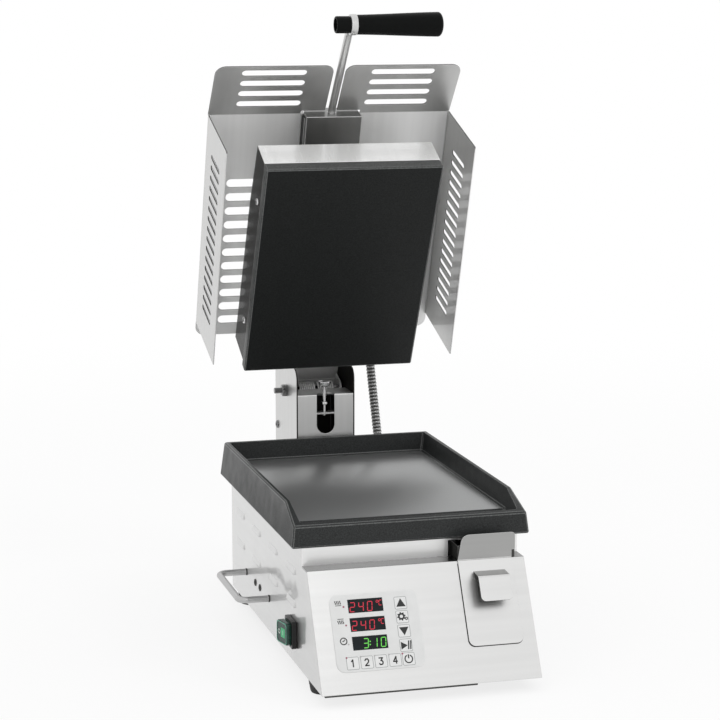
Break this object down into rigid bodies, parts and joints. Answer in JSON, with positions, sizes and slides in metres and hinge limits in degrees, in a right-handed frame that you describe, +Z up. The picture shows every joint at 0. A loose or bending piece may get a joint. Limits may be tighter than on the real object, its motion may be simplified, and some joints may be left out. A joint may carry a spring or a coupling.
{
  "type": "contact grill",
  "caption": "Countertop contact grill with a slanted stainless body, black tray plate, hinge post and lift arm carrying a swivelling upper plate, slotted splash guard and black grip.",
  "frame": {"origin": "middle of the outline on the resting plane, under the feet", "axes": "+Z up, -Y towards the user, +X to the user's right, the lid's axle along X"},
  "size_m": [0.4226, 0.7572, 0.9448],
  "materials": {
    "stainless": "brushed stainless sheet",
    "bright_steel": "polished steel bar and fasteners",
    "hose_steel": "ribbed metal hose",
    "black_enamel": "black enamel on cast iron",
    "dark_steel": "heat-darkened steel",
    "black_plastic": "gloss black heat-proof plastic",
    "foot_rubber": "black rubber",
    "foil": "pale grey printed control foil",
    "display_window": "smoked display window",
    "green_plastic": "clear dark green plastic, lit from inside",
    "circuit_board": "green circuit board",
    "mineral_wool": "pressed mineral wool"
  },
  "bodies": {
    "root": {"body_shell": "stainless", "bottom_plate": "stainless", "foot_front_left": "foot_rubber", "foot_front_right": "foot_rubber", "foot_back_left": "foot_rubber", "foot_back_right": "foot_rubber", "control_panel": "stainless", "control_foil": "foil", "display_upper": "display_window", "display_middle": "display_window", "display_lower": "display_window", "display_board": "circuit_board", "lower_plate": "black_enamel", "lower_element": "dark_steel", "heat_shield": "stainless", "temperature_probe": "bright_steel", "drawer_rail_left": "stainless", "drawer_rail_right": "stainless", "switch_bezel": "black_plastic", "switch_cap": "green_plastic", "handle_left": "bright_steel", "handle_right": "bright_steel", "post_plate_left": "stainless", "post_plate_right": "stainless", "post_cover": "stainless", "post_back_cover": "stainless", "post_mount": "stainless", "lid_axle": "bright_steel", "axle_nut": "bright_steel", "balance_spring_left": "dark_steel", "balance_spring_right": "dark_steel", "screw_bridge": "stainless", "conduit_hose": "hose_steel", "hose_gland_body": "bright_steel", "mains_gland": "black_plastic"},
    "lid": {"lift_arm": "stainless", "hinge_bracket": "dark_steel", "guard_left": "stainless", "guard_right": "stainless", "handle_rod": "bright_steel", "grip_spindle": "bright_steel", "grip": "black_plastic", "grip_end_cap": "black_plastic", "arm_lugs": "stainless", "hose_gland_arm": "bright_steel"},
    "head": {"head_yoke": "stainless", "swivel_pin": "bright_steel", "upper_plate": "black_enamel", "upper_housing": "stainless", "upper_element": "dark_steel", "insulation_block": "mineral_wool"},
    "drawer": {"drawer_tray": "stainless", "drawer_front": "stainless", "drawer_pull": "stainless"},
    "rocker": {"power_rocker": "green_plastic"},
    "thumbscrew": {"height_screw": "bright_steel"}
  },
  "joints": [
    {"name": "lid_hinge", "type": "hinge", "parent": "root", "child": "lid", "pos_m": [0, 0.29811, 0.32174], "axis": [1, 0, 0], "range_deg": [0, 70.68], "deforming": ["conduit_hose"]},
    {"name": "head_swivel", "type": "hinge", "parent": "lid", "child": "head", "pos_m": [0, 0.21736, 0.59046], "axis": [1, 0, 0], "range_deg": [-7.88, 0]},
    {"name": "drawer_slide", "type": "slide", "parent": "root", "child": "drawer", "axis": [0, -1, 0], "range_m": [0, 0.16]},
    {"name": "rocker_tilt", "type": "hinge", "parent": "root", "child": "rocker", "pos_m": [-0.1683, -0.20949, 0.0626], "axis": [0, 0, 1], "range_deg": [-14, 0]},
    {"name": "screw_turn", "type": "hinge", "parent": "root", "child": "thumbscrew", "pos_m": [0, 0.23581, 0.3453], "axis": [0, 0, 1], "range_deg": [-720, 720]}
  ],
  "couplings": [
    {"joint": "head_swivel", "follows": "lid_hinge", "ratio": -0.11149}
  ]
}
